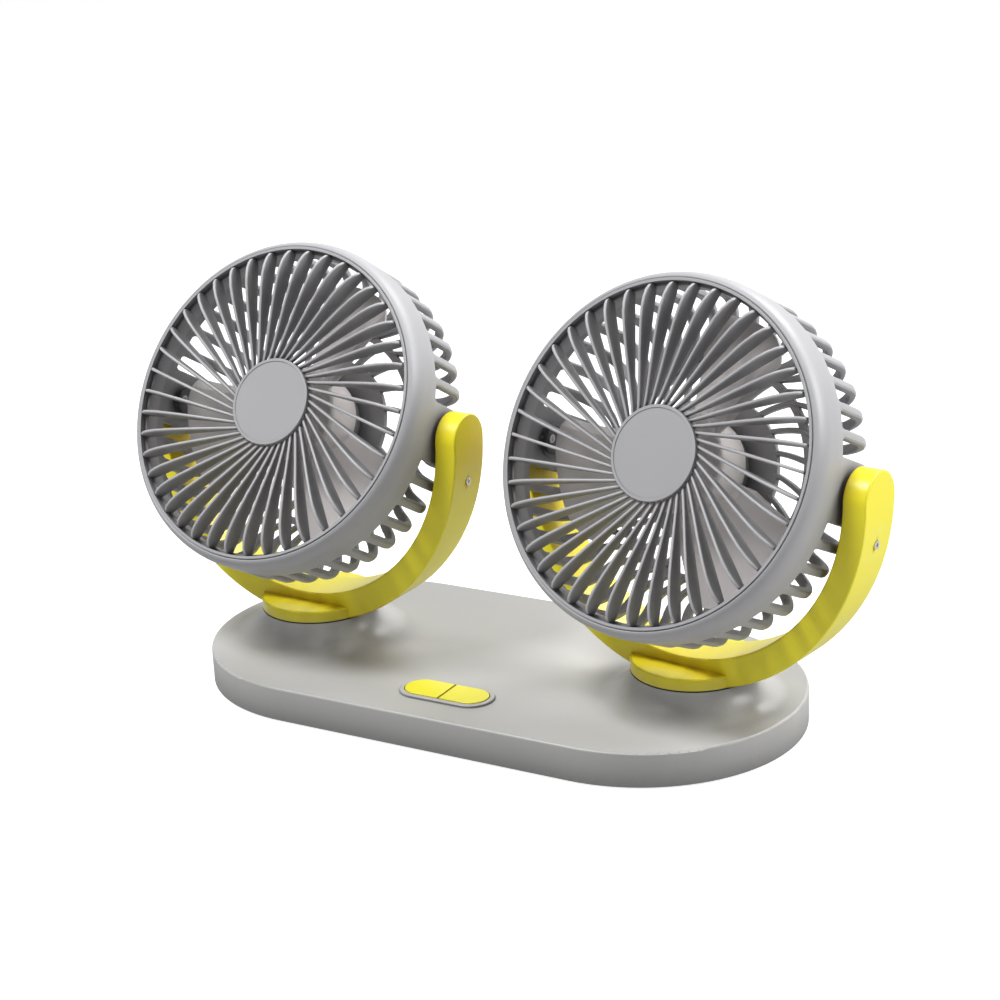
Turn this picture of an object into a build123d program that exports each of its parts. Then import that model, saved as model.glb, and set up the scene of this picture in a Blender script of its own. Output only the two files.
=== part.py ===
from build123d import *
import os
from math import asin, cos, degrees, hypot, radians, sin, sqrt

# Car fan with two tilting heads on one base. Millimetres, +Z up, +X to the right as seen from the front.
# The front of the fan faces -Y, and the origin lies on the table below the middle of the base.

# Base housing and its cover
base_length = 243.0
base_width = 120.5
base_top_z = 13.7
shell_wall = 2.2
top_edge_radius = 0.9
cover_thickness = 2.0
cover_gap = 0.2
foot_radius = 6.0
foot_height = 0.7
foot_recess = 1.0
foot_inset = 20.0

# Pedestals under the heads
head_spacing = 163.0
pedestal_height = 9.5
pedestal_floor = 3.0
flare_radius = 12.0
cavity_inset = 4.0

# Buttons at the front of the base
button_row_y = -38.6
button_row_length = 34.0
button_row_width = 13.2
button_split = 0.8
button_proud = 0.3
button_gap = 0.3
button_travel = 0.5
button_flange = 1.2
button_flange_thickness = 0.8
button_stem_radius = 2.0
button_stem_length = 0.8
button_dish = 0.25
bezel_border = 2.0
bezel_height = 0.9
bezel_edge_radius = 0.3
bezel_neck_wall = 0.8
bezel_fit = 0.1

# Control board with its switches, and the power inlet in the rear wall
board_length = 56.0
board_width = 30.0
board_thickness = 1.2
board_offset_y = 3.0
board_edge = 1.2
switch_size = 6.0
switch_height = 2.0
plunger_radius = 1.5
plunger_height = 0.8
plunger_clearance = 0.1
switch_spacing = 17.0
inlet_width = 9.0
inlet_height = 3.4
inlet_wall = 0.5
inlet_depth = 7.0
inlet_flange = 2.5
inlet_flange_thickness = 1.5
inlet_gap = 0.15
inlet_z = 7.2

# Screws: shank radius, head radius and head height of each kind
cover_screw = (1.3, 2.6, 1.5)
board_screw = (0.9, 1.8, 1.0)
retainer_screw = (0.9, 1.7, 1.1)
arm_screw = (0.9, 1.5, 1.0)
pivot_screw = (0.9, 1.6, 1.0)
motor_screw = (1.0, 1.8, 1.0)
screw_gap = 0.1
recess_length = 1.1
recess_width = 0.3
cover_screw_length = 7.5
board_screw_length = 4.0
retainer_screw_length = 4.5
pivot_screw_length = 4.0
motor_screw_length = 3.0
boss_wall = 2.2
post_wall = 1.2
base_screw_inset = 9.0
base_screw_spread = 35.0

# Turret and U-shaped yoke
turret_radius = 23.0
turret_height = 4.4
turret_edge_radius = 0.8
washer_thickness = 0.6
washer_inset = 0.5
spindle_radius = 8.0
spindle_bore = 5.0
swivel_gap = 0.08
thrust_gap = 0.05
retainer_radius = 12.0
retainer_thickness = 2.0
retainer_gap = 0.3
retainer_screw_count = 3
pivot_z = 99.9
arm_width = 20.0
arm_thickness = 8.8
arm_edge_radius = 0.7
yoke_depth = 68.4
yoke_foot = 79.4
arm_gap = 1.5
arm_screw_drop = 16.0
arm_screw_recess = 1.5
arm_screw_length = 3.5

# Tilt pivots between a yoke and its head
pivot_radius = 4.0
pivot_reach = 6.4
pivot_gap = 0.08
pivot_end_gap = 0.3
pivot_flange_radius = 6.4
pivot_flange_thickness = 1.6
pivot_pad_depth = 1.4
pivot_pad_length = 16.4
pivot_pad_width = 12.8
pivot_boss_gap = 0.6
pivot_screw_spread = 5.9

# Outer shell of a head, with its axis through the pivot
hub_ahead = 25.6
lip_ahead = 1.0
lip_inner_radius = 59.8
lip_step = 0.4
ring_wall = 0.7
ring_depth = 12.4
ring_fit = 0.1
ring_edge_radius = 0.2
lip_thickness = 2.6
shell_radius = 64.3
shell_rear_radius = 63.4
shell_front_edge = 0.8
shell_front_drop = 6.0
drum_radius = 60.4
shell_back = 15.5
shell_corner = 10.0
rear_wall = 2.6

# Slots round the side and over the back of a head
slot_count = 42
slot_width = 6.0
slot_depth_radius = 54.0
slot_front = 14.5
slot_rear_width = 3.0
slot_lean = 22.0
middle_ring_radius = 39.0
middle_ring_width = 2.4
seat_radius = 26.0

# Front grille
rib_count = 42
rib_thickness = 1.2
rib_lean = 8.8
rib_phase = 2.3
rib_back = 2.8
rib_hub_drop = 1.1
rib_crown = 4.8
rib_crown_radius = 50.0
rib_shoulder_radius = 56.5
rib_shoulder = 3.5
rib_tip = 0.6
rib_tip_gap = 0.2
rib_foot_slope = 0.16
rib_end_slope = 0.12
rib_foot_inset = 1.0
hoop_wall = 1.3
hoop_depth = 6.4
grille_hub_radius = 16.9
grille_hub_thickness = 3.2
hub_cap_thickness = 0.9
hub_cap_border = 1.1
hub_cap_dish = 0.3
hub_cap_taper = 20.0
hub_cap_edge_radius = 0.3
hub_cap_gap = 0.1
hub_peg_radius = 2.0

# Motor and impeller
motor_radius = 14.0
motor_length = 16.5
motor_neck_radius = 4.0
motor_neck_height = 2.0
motor_fit = 0.1
motor_fillet = 1.5
motor_cup_wall = 2.0
motor_cup_depth = 4.5
motor_screw_radius = 8.5
motor_screw_count = 2
motor_cap_radius = 21.0
motor_cap_height = 2.6
motor_cap_wall = 1.2
shaft_radius = 1.5
shaft_reach = 9.0
shaft_gap = 0.05
shaft_depth = 14.0
impeller_hub_radius = 18.0
impeller_hub_wall = 1.8
impeller_hub_depth = 16.0
impeller_radius = 54.5
impeller_bore_wall = 2.4
impeller_nose_gap = 1.5
impeller_neck_gap = 0.3
blade_count = 3
blade_span = 68.0
blade_thickness = 1.6
blade_root_pitch = 36.0
blade_tip_pitch = 17.0
blade_corner_radius = 15.0
blade_phase = 76.0
blade_overrun = 1.0
nut_radius = 3.2
nut_height = 2.2

# Pose of each head as it stands: place along X, turn about the upright axis and upward tilt
sides = {
    "left": (-head_spacing / 2, -2.0, 29.7),
    "right": (head_spacing / 2, -8.9, 24.8),
}

# Heights worked out from the sizes above
base_bottom_z = foot_height
cover_top_z = base_bottom_z + cover_thickness
ceiling_z = base_top_z - shell_wall
pedestal_top_z = base_top_z + pedestal_height
floor_z = pedestal_top_z - pedestal_floor
turret_bottom_z = pedestal_top_z + washer_thickness + thrust_gap
spindle_end_z = floor_z - retainer_gap
flange_top_z = ceiling_z
stem_end_z = flange_top_z - button_flange_thickness - button_stem_length
plunger_gap = button_travel + plunger_clearance
board_top_z = stem_end_z - plunger_gap - plunger_height - switch_height
bezel_top_z = base_top_z + bezel_height

# Depths along a head's axis, forwards from its pivot
lip_z = hub_ahead + lip_ahead
ring_outer_radius = lip_inner_radius + lip_step + ring_wall
shell_bore = ring_outer_radius + ring_fit
shell_front_z = lip_z - lip_step
ring_rear_z = lip_z - ring_depth
hoop_front_z = lip_z - lip_thickness
hoop_outer_radius = lip_inner_radius + lip_step - ring_fit
hoop_inner_radius = hoop_outer_radius - hoop_wall
rear_face_z = -shell_back
rear_floor_z = rear_face_z + rear_wall
corner_top_z = rear_face_z + shell_corner
slot_front_z = hub_ahead - slot_front
slot_pitch = 360 / slot_count
motor_front_z = rear_floor_z + motor_length
impeller_front_z = motor_front_z + motor_neck_height + impeller_hub_wall + impeller_nose_gap
impeller_back_z = impeller_front_z - impeller_hub_depth
shaft_end_z = motor_front_z + shaft_reach

pivot_screw_yz = [(0, -pivot_screw_spread), (0, pivot_screw_spread)]

# Inner and outer faces of the yoke's arms, measured from the yaw axis
arm_inner_x = shell_radius + arm_gap
arm_outer_x = arm_inner_x + arm_thickness


def screw_pattern_xy():
    """Return the places of the six screws that hold the base cover."""
    end_x = base_length / 2 - base_screw_inset
    side_y = base_width / 2 - base_screw_inset
    corners = [(sx * base_screw_spread, sy * side_y) for sx in (-1, 1) for sy in (-1, 1)]
    return [(-end_x, 0), (end_x, 0)] + corners


def board_corners():
    """Return the places of the four screws that hold the control board."""
    inset = board_screw[1] + board_edge
    half_x = board_length / 2 - inset
    half_y = board_width / 2 - inset
    mid_y = button_row_y + board_offset_y
    return [(sx * half_x, mid_y + sy * half_y) for sx in (-1, 1) for sy in (-1, 1)]


def feet_xy():
    """Return the places of the four rubber feet, below the heads."""
    foot_y = base_width / 2 - foot_inset
    return [(sx * head_spacing / 2, sy * foot_y) for sx in (-1, 1) for sy in (-1, 1)]


def upright_plane(x):
    """Return the XZ plane moved along X, with its local y upwards."""
    return Plane(origin=(x, 0, 0), x_dir=(1, 0, 0), z_dir=(0, -1, 0))


def make_screw(sizes, length):
    """Return one screw along +Z: its head stands on the origin plane and its shank goes up."""
    shank, head, height = sizes
    with BuildPart() as screw:
        with BuildSketch():
            Circle(head)
        extrude(amount=-height)
        with BuildSketch(Plane.XY.offset(-height)):
            Rectangle(head * recess_length, head * recess_width)
            Rectangle(head * recess_width, head * recess_length)
        extrude(amount=height / 2, mode=Mode.SUBTRACT)
        with BuildSketch():
            Circle(shank)
        extrude(amount=length)
    return screw.part


def place_group(piece, places):
    """Return copies of a piece at several places, kept as separate solids."""
    return Compound(children=[place * piece for place in places])


def half_slot(length, width, side, split):
    """Draw one half of a long rounded shape, cut along its middle."""
    SlotOverall(length, width)
    with Locations((-side * (length / 2 - split / 2), 0)):
        Rectangle(length, width, mode=Mode.SUBTRACT)


# Base housing: a flat rounded slab that flares up into two pedestals, hollow from below
with BuildPart() as base_housing:
    with BuildSketch(Plane.XY.offset(base_bottom_z)):
        SlotOverall(base_length, base_width)
    extrude(amount=base_top_z - base_bottom_z)
    fillet(base_housing.faces().sort_by(Axis.Z)[-1].edges(), top_edge_radius)
    flare_run = sqrt(flare_radius**2 - max(flare_radius - pedestal_height, 0) ** 2)
    flare_mid = (turret_radius + flare_run - flare_radius * sin(radians(45)),
                 base_top_z + flare_radius * (1 - cos(radians(45))))
    for axis_x, _, _ in sides.values():
        with BuildSketch(upright_plane(axis_x)):
            with BuildLine():
                foot = (turret_radius + flare_run, base_top_z)
                neck = (turret_radius, pedestal_top_z)
                ThreePointArc(foot, flare_mid, neck)
                Polyline(neck, (0, pedestal_top_z), (0, ceiling_z), (foot[0], ceiling_z), foot)
            make_face()
        revolve(axis=Axis((axis_x, 0, 0), (0, 0, 1)))
    with BuildSketch(Plane.XY.offset(base_bottom_z)):
        SlotOverall(base_length - 2 * shell_wall, base_width - 2 * shell_wall)
    extrude(amount=ceiling_z - base_bottom_z, mode=Mode.SUBTRACT)
    for axis_x, _, _ in sides.values():
        with BuildSketch(upright_plane(axis_x)):
            with BuildLine():
                Polyline(
                    (0, ceiling_z), (turret_radius + flare_run - cavity_inset, ceiling_z),
                    (turret_radius - cavity_inset, floor_z), (0, floor_z), close=True)
            make_face()
        revolve(axis=Axis((axis_x, 0, 0), (0, 0, 1)), mode=Mode.SUBTRACT)
        with BuildSketch(Plane.XY.offset(floor_z)):
            with Locations((axis_x, 0)):
                Circle(spindle_radius + swivel_gap)
        extrude(amount=pedestal_floor, mode=Mode.SUBTRACT)
    with BuildSketch(Plane.XY.offset(cover_top_z)):
        with Locations(*screw_pattern_xy()):
            Circle(cover_screw[0] + boss_wall)
    extrude(amount=ceiling_z - cover_top_z)
    with BuildSketch(Plane.XY.offset(cover_top_z)):
        with Locations(*screw_pattern_xy()):
            Circle(cover_screw[0] + screw_gap)
    extrude(amount=ceiling_z - cover_top_z, mode=Mode.SUBTRACT)
    with BuildSketch(Plane.XY.offset(board_top_z)):
        with Locations(*board_corners()):
            Circle(board_screw[0] + post_wall)
    extrude(amount=ceiling_z - board_top_z)
    with BuildSketch(Plane.XY.offset(board_top_z)):
        with Locations(*board_corners()):
            Circle(board_screw[0] + screw_gap)
    extrude(amount=ceiling_z - board_top_z, mode=Mode.SUBTRACT)
    neck_length = button_row_length + 2 * (button_gap + bezel_neck_wall + bezel_fit)
    neck_width = button_row_width + 2 * (button_gap + bezel_neck_wall + bezel_fit)
    with BuildSketch(Plane.XY.offset(ceiling_z)):
        with Locations((0, button_row_y)):
            SlotOverall(neck_length, neck_width)
    extrude(amount=shell_wall, mode=Mode.SUBTRACT)
    inlet_plane = Plane(origin=(0, base_width / 2, inlet_z), x_dir=(1, 0, 0), z_dir=(0, -1, 0))
    with BuildSketch(inlet_plane):
        SlotOverall(inlet_width + 2 * inlet_gap, inlet_height + 2 * inlet_gap)
    extrude(amount=shell_wall, mode=Mode.SUBTRACT)
base_housing.part.label = "base_housing"

# Base cover: the flat plate that closes the housing from below
with BuildPart() as base_cover:
    cover_inset = 2 * (shell_wall + cover_gap)
    with BuildSketch(Plane.XY.offset(base_bottom_z)):
        SlotOverall(base_length - cover_inset, base_width - cover_inset)
    extrude(amount=cover_thickness)
    with BuildSketch(Plane.XY.offset(base_bottom_z)):
        with Locations(*screw_pattern_xy()):
            Circle(cover_screw[0] + screw_gap)
    extrude(amount=cover_thickness, mode=Mode.SUBTRACT)
    with BuildSketch(Plane.XY.offset(base_bottom_z)):
        with Locations(*screw_pattern_xy()):
            Circle(cover_screw[1] + screw_gap)
    extrude(amount=cover_screw[2], mode=Mode.SUBTRACT)
    with BuildSketch(Plane.XY.offset(base_bottom_z)):
        with Locations(*feet_xy()):
            Circle(foot_radius + cover_gap)
    extrude(amount=foot_recess, mode=Mode.SUBTRACT)
base_cover.part.label = "base_cover"

# Rubber feet: round pads let into the cover
with BuildPart() as rubber_feet:
    with BuildSketch():
        with Locations(*feet_xy()):
            Circle(foot_radius)
    extrude(amount=foot_height + foot_recess)
rubber_feet.part.label = "rubber_feet"

# Bezel: a low frame round the two buttons, with a neck through the housing
with BuildPart() as button_bezel:
    with BuildSketch(Plane.XY.offset(base_top_z)):
        with Locations((0, button_row_y)):
            SlotOverall(button_row_length + 2 * bezel_border, button_row_width + 2 * bezel_border)
    extrude(amount=bezel_height)
    fillet(button_bezel.faces().sort_by(Axis.Z)[-1].edges(), bezel_edge_radius)
    with BuildSketch(Plane.XY.offset(ceiling_z)):
        with Locations((0, button_row_y)):
            SlotOverall(neck_length - 2 * bezel_fit, neck_width - 2 * bezel_fit)
    extrude(amount=shell_wall)
    with BuildSketch(Plane.XY.offset(ceiling_z)):
        with Locations((0, button_row_y)):
            SlotOverall(button_row_length + 2 * button_gap, button_row_width + 2 * button_gap)
    extrude(amount=shell_wall + bezel_height, mode=Mode.SUBTRACT)
button_bezel.part.label = "button_bezel"


def make_button(side):
    """Return one half-pill button with its retaining flange and its stem."""
    with BuildPart() as button:
        with BuildSketch(Plane.XY.offset(flange_top_z)):
            half_slot(button_row_length, button_row_width, side, button_split)
        extrude(amount=bezel_top_z + button_proud - flange_top_z)
        fillet(button.faces().sort_by(Axis.Z)[-1].edges(), button_dish)
        with BuildSketch(Plane.XY.offset(flange_top_z)):
            half_slot(button_row_length + 2 * button_flange,
                      button_row_width + 2 * button_flange, side, button_split)
        extrude(amount=-button_flange_thickness)
        with BuildSketch(Plane.XY.offset(flange_top_z - button_flange_thickness)):
            with Locations((side * switch_spacing / 2, 0)):
                Circle(button_stem_radius)
        extrude(amount=-button_stem_length)
    return Location((0, button_row_y, 0)) * button.part


# Control board, hung from four posts under the ceiling of the housing
with BuildPart() as control_board:
    board_mid_y = button_row_y + board_offset_y
    with BuildSketch(Plane.XY.offset(board_top_z)):
        with Locations((0, board_mid_y)):
            Rectangle(board_length, board_width)
        with Locations(*board_corners()):
            Circle(board_screw[0] + screw_gap, mode=Mode.SUBTRACT)
    extrude(amount=-board_thickness)
control_board.part.label = "control_board"

# Tact switches, one below each button
with BuildPart() as tact_switch:
    with BuildSketch():
        Rectangle(switch_size, switch_size)
    extrude(amount=switch_height)
    with BuildSketch(Plane.XY.offset(switch_height)):
        Circle(plunger_radius)
    extrude(amount=plunger_height)
switch_places = [Location((s * switch_spacing / 2, button_row_y, board_top_z)) for s in (-1, 1)]

# Power inlet: a flat socket held behind the rear wall, open to the back
with BuildPart() as power_inlet:
    inner_face_y = base_width / 2 - shell_wall
    flange_plane = Plane(origin=(0, inner_face_y, inlet_z), x_dir=(1, 0, 0), z_dir=(0, -1, 0))
    with BuildSketch(flange_plane):
        SlotOverall(inlet_width + 2 * inlet_flange, inlet_height + inlet_flange)
    extrude(amount=inlet_flange_thickness)
    with BuildSketch(flange_plane):
        SlotOverall(inlet_width, inlet_height)
    extrude(amount=inlet_depth)
    with BuildSketch(flange_plane):
        SlotOverall(inlet_width, inlet_height)
    extrude(amount=-(shell_wall - inlet_gap))
    with BuildSketch(inlet_plane):
        SlotOverall(inlet_width - 2 * inlet_wall, inlet_height - 2 * inlet_wall)
    extrude(amount=shell_wall + inlet_depth - inlet_wall, mode=Mode.SUBTRACT)
power_inlet.part.label = "power_inlet"

# Thrust washer: the thin dark disc that shows as a seam between pedestal and turret
with BuildPart() as thrust_washer:
    with BuildSketch(Plane.XY.offset(pedestal_top_z)):
        Circle(turret_radius - washer_inset)
        Circle(spindle_radius + swivel_gap, mode=Mode.SUBTRACT)
    extrude(amount=washer_thickness)

# Retainer: the plate under the pedestal floor that holds the turret down
spindle_wall_mid = (spindle_radius + spindle_bore) / 2
with BuildPart() as swivel_retainer:
    with BuildSketch(Plane.XY.offset(spindle_end_z)):
        Circle(retainer_radius)
        Circle(spindle_bore, mode=Mode.SUBTRACT)
        with PolarLocations(spindle_wall_mid, retainer_screw_count):
            Circle(retainer_screw[0] + screw_gap, mode=Mode.SUBTRACT)
    extrude(amount=-retainer_thickness)


def arm_band(inner_x, inner_drop, outer_x, outer_drop):
    """Draw the band between two half ellipses about the pivots, with upright ends above them."""
    arm_top_z = pivot_z + arm_width / 2
    with Locations((0, pivot_z)):
        Ellipse(outer_x, outer_drop)
    with Locations((0, (pivot_z + arm_top_z + outer_drop) / 2)):
        Rectangle(2 * outer_x, outer_drop + arm_top_z - pivot_z)
    with Locations((0, pivot_z)):
        Ellipse(inner_x, inner_drop, mode=Mode.SUBTRACT)
    with Locations((0, (pivot_z + arm_top_z + outer_drop) / 2)):
        Rectangle(2 * inner_x, outer_drop + arm_top_z - pivot_z, mode=Mode.SUBTRACT)


def arm_side(width, lowest_z):
    """Draw an arm as seen from the side: upright, with a round top about the pivot."""
    with Locations((0, pivot_z)):
        Circle(width / 2)
    with Locations((0, (pivot_z + lowest_z) / 2)):
        Rectangle(width, pivot_z - lowest_z)


def arm_screw_x():
    """Return how far out an arm's outer face lies at the height of its screw."""
    return arm_outer_x * sqrt(1 - (arm_screw_drop / yoke_foot) ** 2)


def arm_screw_place(side):
    """Return the place of an arm's screw, with its head outwards."""
    seat_x = arm_screw_x() - arm_screw_recess + arm_screw[2]
    return Plane(origin=(side * seat_x, 0, pivot_z - arm_screw_drop), x_dir=(0, 1, 0),
                 z_dir=(-side, 0, 0))


def arm_screw_hole(side):
    """Return the stepped hole of an arm's screw."""
    plane = arm_screw_place(side)
    with BuildPart() as hole:
        with BuildSketch(plane):
            Circle(arm_screw[0] + screw_gap)
        extrude(amount=arm_screw_length + screw_gap)
        with BuildSketch(plane):
            Circle(arm_screw[1] + screw_gap)
        extrude(amount=-arm_thickness)
    return hole.part


# Yoke: the turret disc with its spindle, and the U that carries the head between its arms
yoke_floor_z = pivot_z - yoke_depth
with BuildPart() as yoke:
    with BuildSketch(Plane.XZ):
        arm_band(arm_inner_x, yoke_depth, arm_outer_x, yoke_foot)
    extrude(amount=arm_width / 2, both=True)
    with BuildSketch(Plane.YZ):
        arm_side(arm_width, turret_bottom_z)
    extrude(amount=arm_outer_x, both=True, mode=Mode.INTERSECT)
    long_edges = [e for e in yoke.edges() if e.center().Z > turret_bottom_z + turret_height]
    fillet(long_edges, arm_edge_radius)
    with BuildSketch(Plane.XY.offset(turret_bottom_z)):
        Circle(turret_radius)
    extrude(amount=turret_height)
    rim = [e for e in yoke.edges().filter_by(GeomType.CIRCLE)
           if abs(e.radius - turret_radius) < turret_edge_radius
           and e.bounding_box().min.Z > turret_bottom_z + turret_edge_radius]
    fillet(rim, turret_edge_radius)
    with BuildSketch(Plane.XY.offset(turret_bottom_z)):
        Circle(spindle_radius)
    extrude(amount=spindle_end_z - turret_bottom_z)
    with BuildSketch(Plane.XY.offset(spindle_end_z)):
        Circle(spindle_bore)
    extrude(amount=yoke_floor_z - spindle_end_z, mode=Mode.SUBTRACT)
    with BuildSketch(Plane.XY.offset(spindle_end_z)):
        with PolarLocations(spindle_wall_mid, retainer_screw_count):
            Circle(retainer_screw[0] + screw_gap)
    extrude(amount=pedestal_floor + washer_thickness, mode=Mode.SUBTRACT)
    with BuildSketch(Plane.YZ):
        with Locations((0, pivot_z)):
            Circle(pivot_radius + pivot_gap)
    extrude(amount=arm_inner_x + pivot_reach + pivot_end_gap, both=True, mode=Mode.SUBTRACT)
    for side in (-1, 1):
        add(arm_screw_hole(side), mode=Mode.SUBTRACT)

# Front ring: the narrow bezel round the grille, with a skirt that slides into the rear cage
with BuildPart() as front_ring:
    with BuildSketch(Plane.XZ):
        with BuildLine():
            Polyline(
                (lip_inner_radius, hoop_front_z), (lip_inner_radius, lip_z), (ring_outer_radius, lip_z),
                (ring_outer_radius, ring_rear_z), (lip_inner_radius + lip_step, ring_rear_z),
                (lip_inner_radius + lip_step, hoop_front_z), close=True)
        make_face()
    revolve(axis=Axis.Z)
    fillet(front_ring.faces().sort_by(Axis.Z)[-1].edges(), ring_edge_radius)

# Front grille: thin upright ribs between the hub and the hoop behind the bezel
rib_envelope_back_z = hub_ahead - rib_back
hub_front_z = hub_ahead - hub_cap_thickness
hub_back_z = hub_front_z - grille_hub_thickness
rib_tip_radius = lip_inner_radius - rib_tip_gap
with BuildPart() as front_grille:
    with BuildSketch(Plane.XY.offset(rib_envelope_back_z)):
        with PolarLocations(0, rib_count, rib_phase):
            with Locations(((rib_tip_radius + lip_thickness) / 2, rib_lean)):
                Rectangle(rib_tip_radius + lip_thickness, rib_thickness)
        Circle(grille_hub_radius - lip_step, mode=Mode.SUBTRACT)
    extrude(amount=rib_back + rib_crown + lip_ahead)
    with BuildSketch(Plane.XZ):
        with BuildLine():
            rib_start = (0, hub_ahead - rib_hub_drop)
            rib_foot = (grille_hub_radius - rib_foot_inset, hub_ahead - rib_hub_drop)
            rib_top = (rib_crown_radius, hub_ahead + rib_crown)
            rib_edge = (rib_shoulder_radius, hub_ahead + rib_shoulder)
            rib_end = (rib_tip_radius, hub_ahead + rib_tip)
            Line(rib_start, rib_foot)
            Spline(rib_foot, rib_top, rib_edge, rib_end,
                   tangents=[(1, rib_foot_slope), (rib_end_slope, -1)])
            Polyline(rib_end, (rib_tip_radius, rib_envelope_back_z), (0, rib_envelope_back_z), rib_start)
        make_face()
    revolve(axis=Axis.Z, mode=Mode.INTERSECT)
    with BuildSketch(Plane.XY.offset(hub_back_z)):
        Circle(grille_hub_radius)
    extrude(amount=grille_hub_thickness)
    with BuildSketch(Plane.XY.offset(hub_back_z)):
        Circle(hub_peg_radius + hub_cap_gap)
    extrude(amount=grille_hub_thickness, mode=Mode.SUBTRACT)
    with BuildSketch(Plane.XY.offset(hoop_front_z - hoop_depth)):
        Circle(hoop_outer_radius)
        Circle(hoop_inner_radius, mode=Mode.SUBTRACT)
    extrude(amount=hoop_depth)

# Hub cap: the plain disc in the middle of the grille, slightly dished inside its border
with BuildPart() as hub_cap:
    with BuildSketch(Plane.XY.offset(hub_front_z)):
        Circle(grille_hub_radius)
    extrude(amount=hub_cap_thickness)
    fillet(hub_cap.faces().sort_by(Axis.Z)[-1].edges(), hub_cap_edge_radius)
    with BuildSketch(Plane.XY.offset(hub_ahead)):
        Circle(grille_hub_radius - hub_cap_border)
    extrude(amount=-hub_cap_dish, taper=hub_cap_taper, mode=Mode.SUBTRACT)
    with BuildSketch(Plane.XY.offset(hub_front_z)):
        Circle(hub_peg_radius)
    extrude(amount=-grille_hub_thickness)

# Rear cage: the slotted drum behind the bezel, with its back, motor cup and pivot pads
pad_inner_x = drum_radius - pivot_pad_depth
bar_end = sqrt(slot_depth_radius**2 - slot_lean**2)
bar_start = sqrt((middle_ring_radius + middle_ring_width / 2) ** 2 - slot_lean**2)
inner_end = sqrt((middle_ring_radius - middle_ring_width / 2) ** 2 - slot_lean**2)
inner_start = sqrt((seat_radius + middle_ring_width / 2) ** 2 - slot_lean**2)
bar_turn = degrees(asin(slot_lean / slot_depth_radius))
slot_phase = slot_pitch / 2
cage_outer_at_pivot = shell_rear_radius + (shell_radius - shell_rear_radius) * (
    -corner_top_z / (shell_front_z - shell_front_drop - corner_top_z))
side_slots = [k * slot_pitch + slot_phase for k in range(slot_count)
              if abs(sin(radians(k * slot_pitch + slot_phase))) * shell_radius
              > (pivot_pad_width + slot_width) / 2]
with BuildPart() as rear_cage:
    with BuildSketch(Plane.XZ):
        with BuildLine():
            front_mid = shell_front_z - shell_front_drop
            Line((shell_bore, shell_front_z), (shell_bore + shell_front_edge, shell_front_z))
            TangentArc((shell_radius, front_mid), (shell_bore + shell_front_edge, shell_front_z),
                       tangent=(0, 1))
            Line((shell_radius, front_mid), (shell_rear_radius, corner_top_z))
            RadiusArc((shell_rear_radius, corner_top_z),
                      (shell_rear_radius - shell_corner, rear_face_z), shell_corner)
            corner_radius = shell_rear_radius - shell_corner
            inner_corner_top_z = rear_floor_z + drum_radius - corner_radius
            Polyline((corner_radius, rear_face_z), (0, rear_face_z), (0, rear_floor_z),
                     (corner_radius, rear_floor_z))
            TangentArc((corner_radius, rear_floor_z), (drum_radius, inner_corner_top_z), tangent=(1, 0))
            Polyline((drum_radius, inner_corner_top_z), (drum_radius, ring_rear_z - ring_fit),
                     (shell_bore, ring_rear_z - ring_fit), (shell_bore, shell_front_z))
        make_face()
    revolve(axis=Axis.Z)
    for angle in side_slots:
        outward = Vector(cos(radians(angle)), sin(radians(angle)), 0)
        with BuildSketch(Plane(outward * slot_depth_radius, outward.rotate(Axis.Z, 90), outward)):
            with Locations((0, (slot_front_z + rear_face_z * 2) / 2)):
                SlotOverall(slot_front_z - rear_face_z * 2, slot_width, rotation=90)
        extrude(amount=shell_radius - slot_depth_radius + ring_wall, mode=Mode.SUBTRACT)
    with BuildSketch(Plane.XY.offset(rear_face_z)):
        with PolarLocations(0, slot_count, slot_phase + bar_turn):
            with Locations(((bar_start + bar_end) / 2, -slot_lean)):
                SlotOverall(bar_end - bar_start + slot_rear_width, slot_rear_width)
        with PolarLocations(0, slot_count // 2, slot_phase + bar_turn):
            with Locations(((inner_start + inner_end) / 2, -slot_lean)):
                SlotOverall(inner_end - inner_start, slot_rear_width)
    extrude(amount=rear_wall, mode=Mode.SUBTRACT)
    with BuildSketch(Plane.XY.offset(rear_floor_z)):
        Circle(motor_radius + motor_fit + motor_cup_wall)
        Circle(motor_radius + motor_fit, mode=Mode.SUBTRACT)
    extrude(amount=motor_cup_depth)
    with BuildSketch(Plane.XY.offset(rear_face_z)):
        with PolarLocations(motor_screw_radius, motor_screw_count):
            Circle(motor_screw[0] + screw_gap)
    extrude(amount=rear_wall, mode=Mode.SUBTRACT)
    for side in (-1, 1):
        with BuildSketch(Plane.YZ.offset(side * pad_inner_x)):
            SlotOverall(pivot_pad_length, pivot_pad_width, rotation=90)
        extrude(amount=side * (cage_outer_at_pivot - shell_front_edge - pad_inner_x))
        with BuildSketch(Plane.YZ.offset(side * pad_inner_x)):
            Circle(pivot_flange_radius)
        extrude(amount=side * (arm_inner_x - pivot_boss_gap - pad_inner_x))
        with BuildSketch(Plane.YZ.offset(side * pad_inner_x)):
            Circle(pivot_radius + screw_gap)
            with Locations(*pivot_screw_yz):
                Circle(pivot_screw[0] + screw_gap)
        extrude(amount=side * (pivot_screw_length - pivot_flange_thickness + screw_gap),
                mode=Mode.SUBTRACT)
        with BuildSketch(Plane.YZ.offset(side * pad_inner_x)):
            Circle(pivot_radius + screw_gap)
        extrude(amount=side * (arm_inner_x - pad_inner_x), mode=Mode.SUBTRACT)

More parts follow.
